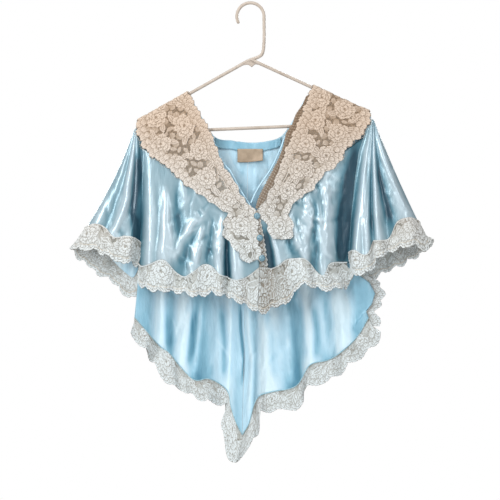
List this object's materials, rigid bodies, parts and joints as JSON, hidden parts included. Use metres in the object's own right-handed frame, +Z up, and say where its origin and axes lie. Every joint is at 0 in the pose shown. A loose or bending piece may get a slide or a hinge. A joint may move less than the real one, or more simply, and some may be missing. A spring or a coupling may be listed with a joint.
{
  "type": "bed jacket on a hanger",
  "caption": "Satin bed jacket with flutter sleeves, lace yokes, scalloped lace edgings and a pointed back tail, buttoned and hung on a tubular hanger.",
  "frame": {"origin": "crown of the hanger's hook, on its inner side, where it hangs on a rail or nail", "axes": "+Z up, +X to the right of someone facing the jacket's front, +Y from the front to the back"},
  "size_m": [0.6645, 0.0677, 0.8506],
  "materials": {
    "satin": "satin",
    "lace": "matte",
    "label": "satin",
    "pearl_button": "gloss",
    "hanger_plastic": "satin"
  },
  "bodies": {
    "root": {"front_right": "satin", "front_edging_right": "lace", "back_right": "satin", "back_edging_right": "lace", "sleeve_right": "satin", "sleeve_edging_right": "lace", "yoke_right": "lace", "front_left": "satin", "front_edging_left": "lace", "back_left": "satin", "back_edging_left": "lace", "sleeve_left": "satin", "sleeve_edging_left": "lace", "yoke_left": "lace", "neck_roll_left": "lace", "neck_facing": "satin", "neck_label": "label", "button_1": "pearl_button", "button_2": "pearl_button", "button_3": "pearl_button", "hanger": "hanger_plastic"}
  },
  "joints": []
}
